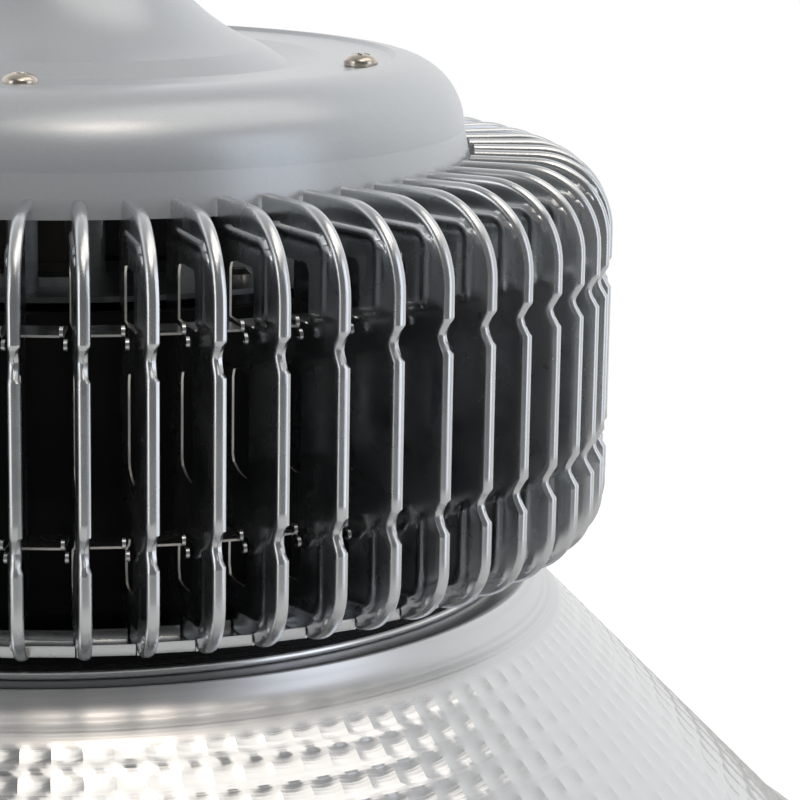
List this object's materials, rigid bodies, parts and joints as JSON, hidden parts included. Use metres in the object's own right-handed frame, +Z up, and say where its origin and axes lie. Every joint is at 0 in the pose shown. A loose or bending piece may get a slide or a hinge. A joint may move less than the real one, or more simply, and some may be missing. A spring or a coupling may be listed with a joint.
{
  "type": "high bay light",
  "caption": "Hanging high bay light: bell cover with a lifting eye over a ring of stamped cooling fins, and a faceted aluminium cone reflector with a glass lens below",
  "frame": {"origin": "on the lamp's axis, in the plane of the reflector's rim", "axes": "+Z up along the axis towards the eye, -Y towards the viewer's side, +X to the right; the eye's hole runs along Y"},
  "size_m": [0.485, 0.485, 0.342],
  "materials": {
    "cover_paint": "satin powder coat",
    "fin_aluminium": "brushed sheet",
    "reflector_aluminium": "spun, faceted and anodised",
    "collar_aluminium": "polished",
    "base_aluminium": "black anodised",
    "deck_steel": "zinc plated sheet",
    "post_steel": "zinc plated",
    "hanger_steel": "bright zinc",
    "screw_nickel": "nickel plated",
    "pipe_copper": "bare copper",
    "driver_coat": "matt",
    "terminal_plastic": "moulded",
    "gland_plastic": "moulded",
    "seal_rubber": "matt",
    "board_metal": "white masked",
    "phosphor": "silicone",
    "holder_plastic": "moulded",
    "lens_glass": "clear"
  },
  "bodies": {
    "root": {"top_cover": "cover_paint", "cover_screws": "screw_nickel", "cover_posts": "post_steel", "post_screws": "screw_nickel", "neck_cap": "cover_paint", "eye_bolt": "hanger_steel", "hanger_washer": "hanger_steel", "hanger_nut": "hanger_steel", "gland_body": "gland_plastic", "gland_nut": "gland_plastic", "gland_seal": "seal_rubber", "gland_locknut": "gland_plastic", "driver_plate": "deck_steel", "plate_pillars": "post_steel", "pillar_screws": "screw_nickel", "driver_case": "driver_coat", "driver_foot": "deck_steel", "driver_screws": "screw_nickel", "terminal_block": "terminal_plastic", "cooling_fins": "fin_aluminium", "core_tube": "base_aluminium", "heat_pipes": "pipe_copper", "base_plate": "base_aluminium", "led_board": "board_metal", "led_emitter": "phosphor", "board_holder": "holder_plastic", "holder_screws": "screw_nickel", "lens_gasket": "seal_rubber", "glass_lens": "lens_glass", "lens_ring": "collar_aluminium", "lens_screws": "screw_nickel", "reflector_collar": "collar_aluminium", "reflector": "reflector_aluminium", "reflector_screws": "screw_nickel"}
  },
  "joints": []
}
